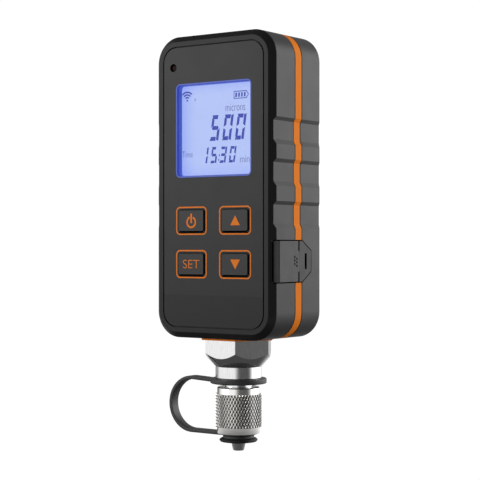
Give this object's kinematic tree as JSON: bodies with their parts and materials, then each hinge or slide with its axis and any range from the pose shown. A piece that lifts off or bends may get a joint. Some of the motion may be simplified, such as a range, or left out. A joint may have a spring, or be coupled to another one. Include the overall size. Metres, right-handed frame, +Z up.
{
  "type": "micron vacuum gauge",
  "caption": "Hand-held digital vacuum gauge: grey case with lit display and keys, orange band, hexagonal fitting and knurled swivel nut with tethered plug.",
  "frame": {"origin": "on the fitting's axis, at the middle of the swivel nut's thread", "axes": "+Z up the fitting's axis into the case, -Y towards the display's viewer, +X towards the side with the charging port"},
  "size_m": [0.0618, 0.0341, 0.1578],
  "materials": {
    "case_plastic": "fine satin moulding",
    "face_plastic": "smooth matt",
    "orange_plastic": "satin",
    "clear_window": "clear",
    "bezel_blue": "translucent, lit from behind",
    "display_glass": "smooth",
    "backlight": "light guide",
    "lamp_red": "dark red lens",
    "board_green": "solder mask",
    "chip_black": "moulded",
    "tinned_metal": "bright",
    "cell_wrap": "shrink sleeve",
    "tray_plastic": "moulded",
    "fitting_metal": "machined, bright",
    "nut_metal": "knurled, satin nickel",
    "seal_rubber": "soft",
    "cover_rubber": "matt",
    "strap_rubber": "matt",
    "plug_rubber": "matt",
    "stud_metal": "dull",
    "screw_metal": "dark plated",
    "brass": "machined",
    "flex_film": "amber film"
  },
  "bodies": {
    "gauge": {"front_shell": "case_plastic", "back_shell": "case_plastic", "seam_band": "orange_plastic", "case_screws": "screw_metal", "face_plate": "face_plastic", "window_lens": "clear_window", "display_bezel": "bezel_blue", "display_glass": "display_glass", "display_backlight": "backlight", "display_pins": "tinned_metal", "status_lamp": "lamp_red", "key_switches": "chip_black", "main_board": "board_green", "board_screws": "screw_metal", "board_chips": "chip_black", "radio_module": "tinned_metal", "charging_socket": "tinned_metal", "port_cover_anchor": "cover_rubber", "battery_cell": "cell_wrap", "battery_tray": "tray_plastic", "battery_contacts": "tinned_metal", "fitting_body": "fitting_metal", "fitting_pad": "orange_plastic", "fitting_washer": "tinned_metal", "fitting_locknut": "brass", "sensor_can": "tinned_metal", "sensor_seal": "seal_rubber", "sensor_retainer": "brass", "sensor_board": "board_green", "sensor_flex": "flex_film", "nut_retaining_ring": "tinned_metal", "flare_gasket": "seal_rubber", "core_depressor": "brass", "tether_strap": "strap_rubber"},
    "power_key": {"power_key": "face_plastic"},
    "up_key": {"up_key": "face_plastic"},
    "set_key": {"set_key": "face_plastic"},
    "down_key": {"down_key": "face_plastic"},
    "swivel_nut": {"swivel_nut": "nut_metal"},
    "dust_plug": {"dust_plug": "plug_rubber", "plug_stud": "stud_metal"},
    "port_flap": {"port_flap": "cover_rubber"}
  },
  "joints": [
    {"name": "power_press", "type": "slide", "parent": "gauge", "child": "power_key", "axis": [0, 1, 0], "range_m": [0, 0.0005], "stiffness_N_per_m": 1500},
    {"name": "up_press", "type": "slide", "parent": "gauge", "child": "up_key", "axis": [0, 1, 0], "range_m": [0, 0.0005], "stiffness_N_per_m": 1500},
    {"name": "set_press", "type": "slide", "parent": "gauge", "child": "set_key", "axis": [0, 1, 0], "range_m": [0, 0.0005], "stiffness_N_per_m": 1500},
    {"name": "down_press", "type": "slide", "parent": "gauge", "child": "down_key", "axis": [0, 1, 0], "range_m": [0, 0.0005], "stiffness_N_per_m": 1500},
    {"name": "nut_spin", "type": "hinge", "parent": "gauge", "child": "swivel_nut", "pos_m": [0, 0, 0], "axis": [0, 0, 1], "continuous": true},
    {"name": "plug_swing", "type": "hinge", "parent": "gauge", "child": "dust_plug", "pos_m": [-0.0211, 0, -0.00669], "axis": [0, 1, 0], "range_deg": [0, 110], "deforming": ["tether_strap"]},
    {"name": "flap_open", "type": "hinge", "parent": "gauge", "child": "port_flap", "pos_m": [0.02765, -0.0001, 0.06035], "axis": [0, 0, 1], "range_deg": [0, 110]}
  ]
}
